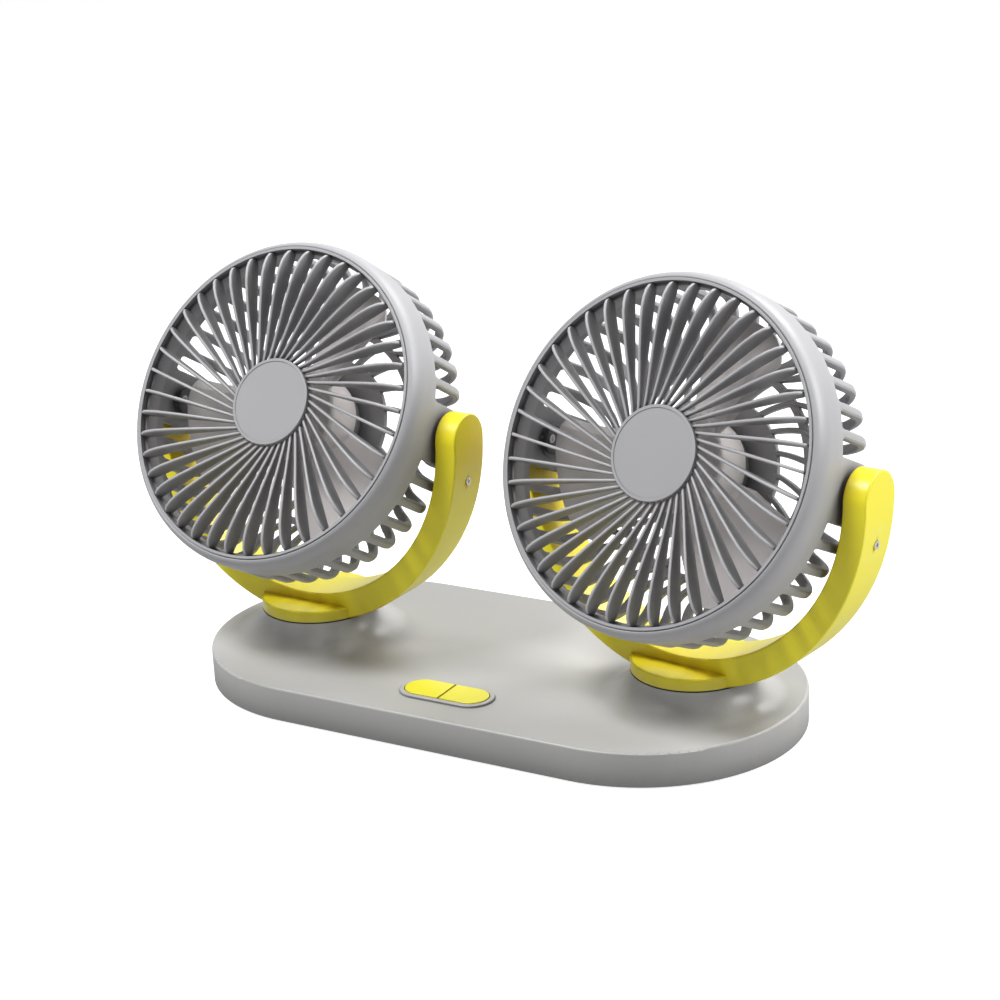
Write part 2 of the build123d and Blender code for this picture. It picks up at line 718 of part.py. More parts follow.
# Pivot hubs: pins fixed inside the cage that turn in the arms of the yoke
with BuildPart() as pivot_hubs:
    for side in (-1, 1):
        with BuildSketch(Plane.YZ.offset(side * pad_inner_x)):
            SlotOverall(pivot_pad_length, pivot_pad_width - 2 * pivot_pad_depth, rotation=90)
            with Locations(*pivot_screw_yz):
                Circle(pivot_screw[0] + screw_gap, mode=Mode.SUBTRACT)
        extrude(amount=-side * pivot_flange_thickness)
        with BuildSketch(Plane.YZ.offset(side * pad_inner_x)):
            Circle(pivot_radius)
        extrude(amount=side * (arm_inner_x + pivot_reach - pad_inner_x))
pivot_screw_places = [
    Plane(origin=(side * (pad_inner_x - pivot_flange_thickness), y, z), x_dir=(0, 1, 0),
          z_dir=(side, 0, 0)).location
    for side in (-1, 1) for y, z in pivot_screw_yz]

# Motor, held in the cup by two screws from behind
with BuildPart() as motor:
    with BuildSketch(Plane.XY.offset(rear_floor_z)):
        Circle(motor_radius)
    extrude(amount=motor_length)
    fillet(motor.faces().sort_by(Axis.Z)[-1].edges(), motor_fillet)
    with BuildSketch(Plane.XY.offset(motor_front_z)):
        Circle(motor_neck_radius)
    extrude(amount=motor_neck_height)
    with BuildSketch(Plane.XY.offset(motor_front_z + motor_neck_height)):
        Circle(shaft_radius + shaft_gap)
    extrude(amount=-shaft_depth, mode=Mode.SUBTRACT)
    with BuildSketch(Plane.XY.offset(rear_floor_z)):
        with PolarLocations(motor_screw_radius, motor_screw_count):
            Circle(motor_screw[0] + screw_gap)
    extrude(amount=motor_screw_length, mode=Mode.SUBTRACT)
motor_screw_places = [
    Location((motor_screw_radius * cos(t), motor_screw_radius * sin(t), rear_face_z))
    for t in (radians(k * 360 / motor_screw_count) for k in range(motor_screw_count))]

# Motor cap: the shallow cover over the motor's screws at the back of the head
with BuildPart() as motor_cap:
    with BuildSketch(Plane.XY.offset(rear_face_z)):
        Circle(motor_cap_radius)
    extrude(amount=-motor_cap_height)
    fillet(motor_cap.faces().sort_by(Axis.Z)[0].edges(), motor_cap_wall)
    with BuildSketch(Plane.XY.offset(rear_face_z)):
        Circle(motor_cap_radius - motor_cap_wall)
    extrude(amount=motor_cap_wall - motor_cap_height, mode=Mode.SUBTRACT)

# Motor shaft, which carries the impeller
with BuildPart() as motor_shaft:
    shaft_bottom_z = motor_front_z + motor_neck_height - shaft_depth
    with BuildSketch(Plane.XY.offset(shaft_bottom_z)):
        Circle(shaft_radius)
    extrude(amount=shaft_end_z - shaft_bottom_z)

# Impeller: a cup over the motor with three wide twisted blades
with BuildPart() as blade:
    for radius, pitch in ((motor_radius, blade_root_pitch), (impeller_radius + blade_overrun, blade_tip_pitch)):
        lean = Plane(origin=(0, radius, (impeller_front_z + impeller_back_z) / 2),
                     x_dir=(cos(radians(pitch)), 0, sin(radians(pitch))), z_dir=(0, 1, 0))
        with BuildSketch(lean):
            Rectangle(2 * impeller_radius, blade_thickness)
    loft(ruled=True)
    with BuildSketch(Plane.XY.offset(impeller_back_z)) as outline:
        Circle(impeller_radius)
        Circle(impeller_hub_radius - impeller_hub_wall / 2, mode=Mode.SUBTRACT)
        with BuildLine():
            reach = 2 * impeller_radius
            half = radians(blade_span / 2)
            Polyline((0, 0), (-reach * sin(half), reach * cos(half)), (0, 2 * reach),
                     (reach * sin(half), reach * cos(half)), close=True)
        make_face(mode=Mode.INTERSECT)
        tips = outline.vertices().group_by(lambda v: round(hypot(v.X, v.Y), 1))[-1]
        fillet(tips, blade_corner_radius)
    extrude(amount=impeller_hub_depth, mode=Mode.INTERSECT)
with BuildPart() as impeller:
    with BuildSketch(Plane.XY.offset(impeller_back_z)):
        Circle(impeller_hub_radius)
    extrude(amount=impeller_hub_depth)
    fillet(impeller.faces().sort_by(Axis.Z)[-1].edges(), impeller_hub_wall)
    for k in range(blade_count):
        add(blade.part.rotate(Axis.Z, k * 360 / blade_count + blade_phase - 90))
    with BuildSketch(Plane.XY.offset(impeller_back_z)):
        Circle(impeller_hub_radius - impeller_hub_wall)
    extrude(amount=impeller_hub_depth - impeller_hub_wall, mode=Mode.SUBTRACT)
    with BuildSketch(Plane.XY.offset(motor_front_z + motor_neck_height + impeller_neck_gap)):
        Circle(shaft_radius + impeller_bore_wall)
    extrude(until=Until.NEXT)
    with BuildSketch(Plane.XY.offset(impeller_back_z)):
        Circle(shaft_radius)
    extrude(amount=impeller_hub_depth, mode=Mode.SUBTRACT)

# Impeller nut, in front of the impeller on its shaft
with BuildPart() as impeller_nut:
    with BuildSketch(Plane.XY.offset(impeller_front_z)):
        RegularPolygon(nut_radius, 6)
        Circle(shaft_radius, mode=Mode.SUBTRACT)
    extrude(amount=nut_height)

# Every piece at its place: those of the base first, then the same set for each side
pieces = {
    "base_housing": base_housing.part,
    "base_cover": base_cover.part,
    "rubber_feet": rubber_feet.part,
    "base_screws": place_group(
        make_screw(cover_screw, cover_screw_length),
        [Location((x, y, base_bottom_z + cover_screw[2])) for x, y in screw_pattern_xy()]),
    "button_bezel": button_bezel.part,
    "button_left": make_button(-1),
    "button_right": make_button(1),
    "control_board": control_board.part,
    "board_screws": place_group(
        make_screw(board_screw, board_screw_length),
        [Location((x, y, board_top_z - board_thickness)) for x, y in board_corners()]),
    "tact_switches": place_group(tact_switch.part, switch_places),
    "power_inlet": power_inlet.part,
}
for name, (axis_x, yaw, tilt) in sides.items():
    turn = Location((axis_x, 0, 0), (0, 0, yaw))
    head = Location((axis_x, 0, pivot_z), (0, 0, yaw)) * Location((0, 0, 0), (90 - tilt, 0, 0))
    retainer_places = [
        turn * Location((spindle_wall_mid * cos(t), spindle_wall_mid * sin(t),
                         spindle_end_z - retainer_thickness))
        for t in (radians(k * 360 / retainer_screw_count) for k in range(retainer_screw_count))]
    pieces.update({
        name + "_thrust_washer": Location((axis_x, 0, 0)) * thrust_washer.part,
        name + "_yoke": turn * yoke.part,
        name + "_swivel_retainer": turn * swivel_retainer.part,
        name + "_retainer_screws": place_group(
            make_screw(retainer_screw, retainer_screw_length), retainer_places),
        name + "_arm_screws": place_group(
            make_screw(arm_screw, arm_screw_length),
            [turn * arm_screw_place(side).location for side in (-1, 1)]),
        name + "_front_ring": head * front_ring.part,
        name + "_front_grille": head * front_grille.part,
        name + "_hub_cap": head * hub_cap.part,
        name + "_rear_cage": head * rear_cage.part,
        name + "_pivot_hubs": head * pivot_hubs.part,
        name + "_pivot_screws": place_group(
            make_screw(pivot_screw, pivot_screw_length),
            [head * place for place in pivot_screw_places]),
        name + "_motor": head * motor.part,
        name + "_motor_screws": place_group(
            make_screw(motor_screw, motor_screw_length + rear_wall),
            [head * place for place in motor_screw_places]),
        name + "_motor_cap": head * motor_cap.part,
        name + "_motor_shaft": head * motor_shaft.part,
        name + "_impeller": head * impeller.part,
        name + "_impeller_nut": head * impeller_nut.part,
    })

os.makedirs("parts", exist_ok=True)
for name, piece in pieces.items():
    piece.label = name
    export_step(piece, f"parts/{name}.step")
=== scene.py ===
"""Looks of a car fan with two tilting heads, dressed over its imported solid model."""

import logging
import math
from dataclasses import dataclass
from enum import Enum

import bmesh
import bpy
from mathutils import Matrix, Vector


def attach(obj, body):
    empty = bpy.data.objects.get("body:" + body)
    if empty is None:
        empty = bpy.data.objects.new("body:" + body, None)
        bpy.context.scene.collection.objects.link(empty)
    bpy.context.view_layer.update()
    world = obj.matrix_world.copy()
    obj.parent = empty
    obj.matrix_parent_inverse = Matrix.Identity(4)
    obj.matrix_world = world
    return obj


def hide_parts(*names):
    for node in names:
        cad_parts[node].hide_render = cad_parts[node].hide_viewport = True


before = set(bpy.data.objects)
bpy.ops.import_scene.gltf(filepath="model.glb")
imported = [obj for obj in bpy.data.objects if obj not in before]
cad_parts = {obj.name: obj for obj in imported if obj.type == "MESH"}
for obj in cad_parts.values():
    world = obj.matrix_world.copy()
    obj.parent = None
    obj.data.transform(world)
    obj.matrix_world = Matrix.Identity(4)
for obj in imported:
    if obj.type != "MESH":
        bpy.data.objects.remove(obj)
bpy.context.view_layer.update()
LOG = logging.getLogger("car_fan")
MM = 0.001
MERGE_DISTANCE = 0.002 * MM
FLAT_ANGLE = math.radians(0.3)
LENS_SENSOR = 36.0
PLASTIC_IOR = 1.48
COAT_ROUGHNESS = 0.12
RUBBER_SPECULAR = 0.3


class Side(Enum):
    """The two heads, as seen from the front."""

    LEFT = "left"
    RIGHT = "right"


class Texture(Enum):
    """How a moulded surface was finished in its tool."""

    SATIN = "satin"
    POLISHED = "polished"
    RUBBERY = "rubbery"


def link(tree: bpy.types.NodeTree, source: bpy.types.NodeSocket,
         target: bpy.types.NodeSocket) -> None:
    """Join two sockets of a node tree.

    Args:
        tree: The tree that holds both sockets.
        source: The output that gives the value.
        target: The input that takes it.
    """
    tree.links.new(source, target)


def add_node(tree: bpy.types.NodeTree, kind: str, **values: object) -> bpy.types.Node:
    """Add a node and set its inputs by name.

    Args:
        tree: The tree that gets the node.
        kind: The node's type name.
        values: Properties of the node, or inputs named with underscores for spaces.

    Returns:
        The new node.
    """
    node = tree.nodes.new(kind)
    for name, value in values.items():
        socket = node.inputs.get(name.replace("_", " "))
        if hasattr(node, name):
            setattr(node, name, value)
        elif socket is not None:
            socket.default_value = value
        else:
            raise KeyError(f"{kind} has no {name}")
    return node


class MouldedSkin:
    """Shader node group: moulding grain, soft mottling, worn edges and painted shade in hollows."""

    NAME = "moulded_skin"
    MOTTLE_SCALE = 45.0
    EDGE_START = 0.52
    EDGE_FULL = 0.62
    WORN_COLOUR = (0.85, 0.85, 0.84, 1)
    # Occlusion values where the painted shade in hollows begins and where it is full.
    PAINTED_SHADE_START = 0.85
    PAINTED_SHADE_FULL = 0.3
    ROUGHNESS_SWING = 0.18
    GRAIN_HEIGHT = 0.06 * MM

    def __init__(self) -> None:
        """Build the group once."""
        tree = bpy.data.node_groups.new(self.NAME, "ShaderNodeTree")
        self.tree = tree
        face = tree.interface
        colour = face.new_socket("Colour", in_out="INPUT", socket_type="NodeSocketColor")
        colour.default_value = (0.5, 0.5, 0.5, 1)
        for name, value in (("Roughness", 0.4), ("Grain Scale", 900.0), ("Grain Depth", 0.1),
                            ("Mottle", 0.03), ("Edge Wear", 0.15)):
            socket = face.new_socket(name, in_out="INPUT", socket_type="NodeSocketFloat")
            socket.default_value = value
        # Colour and reach of the painted shade laid into hollows.
        painted_shade_colour = face.new_socket("Painted Shade Colour", in_out="INPUT", socket_type="NodeSocketColor")
        painted_shade_colour.default_value = (1, 1, 1, 1)
        reach = face.new_socket("Painted Shade Reach", in_out="INPUT", socket_type="NodeSocketFloat")
        reach.default_value = 0.01
        face.new_socket("Colour", in_out="OUTPUT", socket_type="NodeSocketColor")
        face.new_socket("Roughness", in_out="OUTPUT", socket_type="NodeSocketFloat")
        face.new_socket("Normal", in_out="OUTPUT", socket_type="NodeSocketVector")
        self._fill(tree)

    def _fill(self, tree: bpy.types.NodeTree) -> None:
        """Lay out the nodes of the group."""
        start = add_node(tree, "NodeGroupInput")
        end = add_node(tree, "NodeGroupOutput")
        place = add_node(tree, "ShaderNodeTexCoord")
        swing = self._swing(tree, place)
        tinted = self._tinted(tree, start, swing)
        worn = self._worn(tree, start, tinted)
        link(tree, self._with_painted_shade(tree, start, worn), end.inputs["Colour"])

        rough = add_node(tree, "ShaderNodeMath", operation="MULTIPLY_ADD")
        link(tree, swing, rough.inputs[0])
        rough.inputs[1].default_value = self.ROUGHNESS_SWING
        link(tree, start.outputs["Roughness"], rough.inputs[2])
        link(tree, rough.outputs[0], end.inputs["Roughness"])

        grain = add_node(tree, "ShaderNodeTexNoise", Detail=2.0, Roughness=0.55)
        link(tree, place.outputs["Object"], grain.inputs["Vector"])
        link(tree, start.outputs["Grain Scale"], grain.inputs["Scale"])
        bump = add_node(tree, "ShaderNodeBump")
        bump.inputs["Distance"].default_value = self.GRAIN_HEIGHT
        link(tree, start.outputs["Grain Depth"], bump.inputs["Strength"])
        link(tree, grain.outputs["Fac"], bump.inputs["Height"])
        link(tree, bump.outputs["Normal"], end.inputs["Normal"])

    def _swing(self, tree: bpy.types.NodeTree, place: bpy.types.Node) -> bpy.types.NodeSocket:
        """Return slow noise that swings evenly about zero."""
        mottle = add_node(tree, "ShaderNodeTexNoise", Scale=self.MOTTLE_SCALE, Detail=3.0,
                          Roughness=0.6)
        link(tree, place.outputs["Object"], mottle.inputs["Vector"])
        swing = add_node(tree, "ShaderNodeMath", operation="SUBTRACT")
        link(tree, mottle.outputs["Fac"], swing.inputs[0])
        swing.inputs[1].default_value = 0.5
        return swing.outputs[0]

    def _tinted(self, tree: bpy.types.NodeTree, start: bpy.types.Node,
                swing: bpy.types.NodeSocket) -> bpy.types.NodeSocket:
        """Return the colour, made a little lighter and darker by the swing."""
        amount = add_node(tree, "ShaderNodeMath", operation="MULTIPLY")
        link(tree, swing, amount.inputs[0])
        link(tree, start.outputs["Mottle"], amount.inputs[1])
        gain = add_node(tree, "ShaderNodeMath", operation="ADD")
        link(tree, amount.outputs[0], gain.inputs[0])
        gain.inputs[1].default_value = 1.0
        tinted = add_node(tree, "ShaderNodeVectorMath", operation="SCALE")
        link(tree, start.outputs["Colour"], tinted.inputs[0])
        link(tree, gain.outputs[0], tinted.inputs["Scale"])
        return tinted.outputs[0]

    def _worn(self, tree: bpy.types.NodeTree, start: bpy.types.Node,
              colour: bpy.types.NodeSocket) -> bpy.types.NodeSocket:
        """Return the colour with paler outer edges."""
        geometry = add_node(tree, "ShaderNodeNewGeometry")
        edge = add_node(tree, "ShaderNodeMapRange")
        edge.inputs["From Min"].default_value = self.EDGE_START
        edge.inputs["From Max"].default_value = self.EDGE_FULL
        link(tree, geometry.outputs["Pointiness"], edge.inputs["Value"])
        wear = add_node(tree, "ShaderNodeMath", operation="MULTIPLY")
        link(tree, edge.outputs["Result"], wear.inputs[0])
        link(tree, start.outputs["Edge Wear"], wear.inputs[1])
        paler = add_node(tree, "ShaderNodeMix", data_type="RGBA")
        link(tree, wear.outputs[0], paler.inputs["Factor"])
        link(tree, colour, paler.inputs["A"])
        paler.inputs["B"].default_value = self.WORN_COLOUR
        return paler.outputs["Result"]

    def _with_painted_shade(self, tree: bpy.types.NodeTree, start: bpy.types.Node,
                colour: bpy.types.NodeSocket) -> bpy.types.NodeSocket:
        """Return the colour with painted shade: darker where the surface lies in a hollow."""
        # Painted shade: ambient occlusion pulls the colour towards the painted shade colour in
        # hollows.
        hollow = add_node(tree, "ShaderNodeAmbientOcclusion", samples=8)
        link(tree, start.outputs["Painted Shade Reach"], hollow.inputs["Distance"])
        depth = add_node(tree, "ShaderNodeMapRange")
        depth.inputs["From Min"].default_value = self.PAINTED_SHADE_START
        depth.inputs["From Max"].default_value = self.PAINTED_SHADE_FULL
        link(tree, hollow.outputs["AO"], depth.inputs["Value"])
        deep = add_node(tree, "ShaderNodeMix", data_type="RGBA", blend_type="MULTIPLY")
        link(tree, depth.outputs["Result"], deep.inputs["Factor"])
        link(tree, colour, deep.inputs["A"])
        link(tree, start.outputs["Painted Shade Colour"], deep.inputs["B"])
        return deep.outputs["Result"]


@dataclass(frozen=True)
class MouldedFinish:
    """A moulded plastic or rubber finish."""

    name: str
    colour: tuple[float, float, float]
    texture: Texture = Texture.SATIN
    roughness: float = 0.42
    grain_scale: float = 900.0
    grain_depth: float = 0.35
    mottle: float = 0.05
    edge_wear: float = 0.1
    coat: float = 0.0
    # Painted shade: the colour that hollows are darkened towards, and how far the occlusion looks
    # for them.
    painted_shade_colour: tuple[float, float, float] = (0.45, 0.45, 0.46)
    painted_shade_reach: float = 0.01

    def build(self, skin: MouldedSkin) -> bpy.types.Material:
        """Make the material.

        Args:
            skin: The shared shader group for moulded surfaces.

        Returns:
            The finished material.
        """
        material = bpy.data.materials.new(self.name)
        material.use_nodes = True
        tree = material.node_tree
        shader = tree.nodes["Principled BSDF"]
        group = add_node(tree, "ShaderNodeGroup")
        group.node_tree = skin.tree
        group.inputs["Colour"].default_value = (*self.colour, 1)
        group.inputs["Roughness"].default_value = self.roughness
        group.inputs["Grain Scale"].default_value = self.grain_scale
        group.inputs["Grain Depth"].default_value = self.grain_depth
        group.inputs["Mottle"].default_value = self.mottle
        group.inputs["Edge Wear"].default_value = self.edge_wear
        group.inputs["Painted Shade Colour"].default_value = (*self.painted_shade_colour, 1)
        group.inputs["Painted Shade Reach"].default_value = self.painted_shade_reach
        link(tree, group.outputs["Colour"], shader.inputs["Base Color"])
        link(tree, group.outputs["Roughness"], shader.inputs["Roughness"])
        link(tree, group.outputs["Normal"], shader.inputs["Normal"])
        shader.inputs["IOR"].default_value = PLASTIC_IOR
        if self.texture is Texture.POLISHED:
            shader.inputs["Coat Weight"].default_value = self.coat
            shader.inputs["Coat Roughness"].default_value = COAT_ROUGHNESS
        if self.texture is Texture.RUBBERY:
            shader.inputs["Specular IOR Level"].default_value = RUBBER_SPECULAR
        return material


@dataclass(frozen=True)
class MetalFinish:
    """A turned or plated metal finish with fine scratches."""

    name: str
    colour: tuple[float, float, float]
    roughness: float = 0.3
    smoother: float = 0.08
    rougher: float = 0.12
    scratch_scale: float = 1500.0
    scratch_height: float = 0.02 * MM
    scratch_strength: float = 0.3

    def build(self) -> bpy.types.Material:
        """Make the material.

        Returns:
            The finished material.
        """
        material = bpy.data.materials.new(self.name)
        material.use_nodes = True
        tree = material.node_tree
        shader = tree.nodes["Principled BSDF"]
        shader.inputs["Metallic"].default_value = 1.0
        shader.inputs["Base Color"].default_value = (*self.colour, 1)
        place = add_node(tree, "ShaderNodeTexCoord")
        scratch = add_node(tree, "ShaderNodeTexNoise", Scale=self.scratch_scale, Detail=2.0)
        link(tree, place.outputs["Object"], scratch.inputs["Vector"])
        spread = add_node(tree, "ShaderNodeMapRange")
        spread.inputs["To Min"].default_value = self.roughness - self.smoother
        spread.inputs["To Max"].default_value = self.roughness + self.rougher
        link(tree, scratch.outputs["Fac"], spread.inputs["Value"])
        link(tree, spread.outputs["Result"], shader.inputs["Roughness"])
        bump = add_node(tree, "ShaderNodeBump")
        bump.inputs["Distance"].default_value = self.scratch_height
        bump.inputs["Strength"].default_value = self.scratch_strength
        link(tree, scratch.outputs["Fac"], bump.inputs["Height"])
        link(tree, bump.outputs["Normal"], shader.inputs["Normal"])
        return material


class Palette:
    """Every finish on the fan, built once."""

    def __init__(self) -> None:
        """Build the materials."""
        skin = MouldedSkin()
        # The painted shade colour of each finish darkens its hollows; the base's deep grey is
        # painted shade round the pedestals.
        self.base = MouldedFinish("base_grey", (0.435, 0.433, 0.427), roughness=0.34, edge_wear=0.1,
                                  painted_shade_colour=(0.17, 0.17, 0.17), painted_shade_reach=0.02).build(skin)
        self.shell = MouldedFinish("head_grey", (0.37, 0.37, 0.385), roughness=0.42,
                                    painted_shade_colour=(0.3, 0.3, 0.31)).build(skin)
        self.grille = MouldedFinish("grille_grey", (0.42, 0.415, 0.43), roughness=0.4,
                                     painted_shade_colour=(0.2, 0.2, 0.21), painted_shade_reach=0.012).build(skin)
        # The yellows' orange painted shade colour is painted shade with painted bounce light in the
        # yoke's hollows.
        self.yellow = MouldedFinish(
            "yoke_yellow", (0.87, 0.78, 0.012), Texture.POLISHED, 0.36, coat=0.15,
            painted_shade_colour=(0.72, 0.55, 0.3), painted_shade_reach=0.03).build(skin)
        self.button = MouldedFinish(
            "button_yellow", (0.82, 0.76, 0.03), Texture.POLISHED, 0.34, coat=0.2,
            painted_shade_colour=(0.8, 0.7, 0.4)).build(skin)
        self.blade = MouldedFinish("blade_pale", (0.66, 0.62, 0.61), roughness=0.35).build(skin)
        self.dark = MouldedFinish("dark_plastic", (0.03, 0.03, 0.033), roughness=0.5).build(skin)
        self.rubber = MouldedFinish(
            "foot_rubber", (0.02, 0.02, 0.02), Texture.RUBBERY, 0.75, edge_wear=0.0).build(skin)
        self.board = MouldedFinish("board_green", (0.01, 0.12, 0.04), roughness=0.3).build(skin)
        self.steel = MetalFinish("plated_steel", (0.62, 0.62, 0.64)).build()
        self.motor = MetalFinish("motor_steel", (0.45, 0.45, 0.47), 0.35).build()


def dress(node: str, material: bpy.types.Material) -> None:
    """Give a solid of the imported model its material.

    Args:
        node: The solid's name.
        material: The finish that it gets.
    """
    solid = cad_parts[node]
    solid.data.materials.clear()
    solid.data.materials.append(material)
    LOG.info("dressed %s in %s", node, material.name)


class RingRepeat:
    """Geometry Nodes tree that repeats a piece evenly round the Z axis."""

    NAME = "ring_repeat"

    def __init__(self) -> None:
        """Build the tree once."""
        tree = bpy.data.node_groups.new(self.NAME, "GeometryNodeTree")
        self.tree = tree
        for name, kind in (("Geometry", "NodeSocketGeometry"), ("Count", "NodeSocketInt"),
                           ("Phase", "NodeSocketFloat"), ("Material", "NodeSocketMaterial")):
            tree.interface.new_socket(name, in_out="INPUT", socket_type=kind)
        tree.interface.new_socket("Geometry", in_out="OUTPUT", socket_type="NodeSocketGeometry")
        start = add_node(tree, "NodeGroupInput")
        end = add_node(tree, "NodeGroupOutput")
        points = add_node(tree, "GeometryNodePoints")
        link(tree, start.outputs["Count"], points.inputs["Count"])
        step = add_node(tree, "ShaderNodeMath", operation="DIVIDE")
        step.inputs[0].default_value = math.tau
        link(tree, start.outputs["Count"], step.inputs[1])
        angle = add_node(tree, "ShaderNodeMath", operation="MULTIPLY_ADD")
        link(tree, add_node(tree, "GeometryNodeInputIndex").outputs[0], angle.inputs[0])
        link(tree, step.outputs[0], angle.inputs[1])
        link(tree, start.outputs["Phase"], angle.inputs[2])
        turn = add_node(tree, "ShaderNodeCombineXYZ")
        link(tree, angle.outputs[0], turn.inputs["Z"])
        euler = add_node(tree, "FunctionNodeEulerToRotation")
        link(tree, turn.outputs[0], euler.inputs[0])
        copies = add_node(tree, "GeometryNodeInstanceOnPoints")
        link(tree, points.outputs[0], copies.inputs["Points"])
        link(tree, start.outputs["Geometry"], copies.inputs["Instance"])
        link(tree, euler.outputs[0], copies.inputs["Rotation"])
        real = add_node(tree, "GeometryNodeRealizeInstances")
        link(tree, copies.outputs[0], real.inputs[0])
        paint = add_node(tree, "GeometryNodeSetMaterial")
        link(tree, real.outputs[0], paint.inputs["Geometry"])
        link(tree, start.outputs["Material"], paint.inputs["Material"])
        link(tree, paint.outputs[0], end.inputs[0])

    def apply(self, unit: bpy.types.Mesh, count: int, phase: float,
              material: bpy.types.Material) -> bpy.types.Mesh:
        """Repeat a mesh and return the result as a plain mesh.

        Args:
            unit: The mesh of one piece, at its place for an angle of zero.
            count: How many copies stand round the axis.
            phase: The angle of the first copy, in radians.
            material: The finish of the copies.

        Returns:
            One mesh that holds all copies.
        """
        values = {"Count": count, "Phase": phase, "Material": material}
        holder = bpy.data.objects.new("holder", unit)
        bpy.context.scene.collection.objects.link(holder)
        modifier = holder.modifiers.new("repeat", "NODES")
        modifier.node_group = self.tree
        for item in self.tree.interface.items_tree:
            if item.in_out == "INPUT" and item.name in values:
                modifier[item.identifier] = values[item.name]
        return bake(holder)


def bake(holder: bpy.types.Object) -> bpy.types.Mesh:
    """Turn an object's modifiers into a plain mesh and drop the object.

    Args:
        holder: The object with its modifiers.

    Returns:
        The mesh as the modifiers leave it.
    """
    bpy.context.view_layer.update()
    evaluated = holder.evaluated_get(bpy.context.evaluated_depsgraph_get())
    mesh = bpy.data.meshes.new_from_object(evaluated)
    bpy.data.objects.remove(holder)
    return mesh


def loft(sections: list[list[Vector]], closed: bool = False) -> bpy.types.Mesh:
    """Skin a row of equal rings of points.

    Args:
        sections: The rings, each a closed loop of points.
        closed: Whether the last ring joins the first; otherwise both ends are capped.

    Returns:
        The skinned mesh.
    """
    work = bmesh.new()
    rings = [[work.verts.new(point) for point in section] for section in sections]
    pairs = list(zip(rings, rings[1:] + rings[:1])) if closed else list(zip(rings, rings[1:]))
    for first, second in pairs:
        for k in range(len(first)):
            j = (k + 1) % len(first)
            work.faces.new((first[k], first[j], second[j], second[k]))
    if not closed:
        work.faces.new(rings[0])
        work.faces.new(reversed(rings[-1]))
    bmesh.ops.recalc_face_normals(work, faces=work.faces)
    mesh = bpy.data.meshes.new("loft")
    work.to_mesh(mesh)
    work.free()
    return mesh


def lathe(profile: list[tuple[float, float]], steps: int = 168) -> bpy.types.Mesh:
    """Turn a closed profile about the Z axis.

    Args:
        profile: The profile's points, each a radius and a height.
        steps: How many sides the full turn has.

    Returns:
        The turned mesh.
    """
    sections = []
    for k in range(steps):
        angle = math.tau * k / steps
        sections.append([Vector((radius * math.cos(angle), radius * math.sin(angle), z))
                         for radius, z in profile])
    return loft(sections, closed=True)


def gather(meshes: list[bpy.types.Mesh]) -> bpy.types.Mesh:
    """Join several meshes into one.

    Args:
        meshes: The meshes, all in the same units and frame.

    Returns:
        One mesh that holds them all.
    """
    work = bmesh.new()
    for mesh in meshes:
        work.from_mesh(mesh)
    joined = bpy.data.meshes.new("joined")
    work.to_mesh(joined)
    work.free()
    return joined


def arc(centre: tuple[float, float], radius: float, first: float, last: float,
        steps: int) -> list[tuple[float, float]]:
    """Place points evenly on an arc.

    Args:
        centre: The arc's centre.
        radius: Its radius.
        first: The angle of the first point, in degrees.
        last: The angle of the last point, in degrees.
        steps: How many steps lie between the two.

    Returns:
        The points, one more than the steps.
    """
    angles = [math.radians(first + (last - first) * k / steps) for k in range(steps + 1)]
    return [(centre[0] + radius * math.cos(a), centre[1] + radius * math.sin(a)) for a in angles]


def settle(name: str, mesh: bpy.types.Mesh, material: bpy.types.Material, body: str,
           nodes: tuple[str, ...] = (), crease: float = 32.0) -> None:
    """Put a finished mesh on its body with smooth shading.

    Args:
        name: The name of the new piece.
        mesh: Its mesh, already in metres and in place.
        material: Its finish.
        body: The body that it rides on.
        nodes: The solids that it stands for.
        crease: Edges sharper than this angle in degrees stay sharp.
    """
    mesh.shade_smooth()
    mesh.set_sharp_from_angle(angle=math.radians(crease))
    holder = bpy.data.objects.new(name, mesh)
    bpy.context.scene.collection.objects.link(holder)
    weighted = holder.modifiers.new("weighted", "WEIGHTED_NORMAL")
    weighted.keep_sharp = True
    plain = bake(holder)
    plain.materials.clear()
    plain.materials.append(material)
    piece = bpy.data.objects.new(name, plain)
    bpy.context.scene.collection.objects.link(piece)
    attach(piece, body)
    if nodes:
        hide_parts(*nodes)


def smooth_copy(node: str, material: bpy.types.Material, body: str) -> None:
    """Stand a merged, smoothly shaded copy of a solid in its place.

    Args:
        node: The solid's name.
        material: The finish of the copy.
        body: The body that it rides on.
    """
    work = bmesh.new()
    work.from_mesh(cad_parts[node].data)
    bmesh.ops.remove_doubles(work, verts=work.verts, dist=MERGE_DISTANCE)
    bmesh.ops.dissolve_limit(work, angle_limit=FLAT_ANGLE, verts=work.verts, edges=work.edges)
    mesh = bpy.data.meshes.new(node)
    work.to_mesh(mesh)
    work.free()
    settle(f"{node}_skin", mesh, material, body, (node,))


@dataclass(frozen=True)
class Placing:
    """Where a head and its yoke stand, in millimetres and degrees."""

    axis_x: float
    yaw: float
    tilt: float
    pivot_z: float = 99.9

    def yoke(self) -> Matrix:
        """Return the matrix from the yoke's own millimetres to the scene."""
        return (Matrix.Scale(MM, 4) @ Matrix.Translation((self.axis_x, 0, self.pivot_z))
                @ Matrix.Rotation(math.radians(self.yaw), 4, "Z"))

    def head(self) -> Matrix:
        """Return the matrix from the head's own millimetres to the scene."""
        return self.yoke() @ Matrix.Rotation(math.radians(90 - self.tilt), 4, "X")


PLACINGS = {Side.LEFT: Placing(-81.5, -2.0, 29.7), Side.RIGHT: Placing(81.5, -8.9, 24.8)}


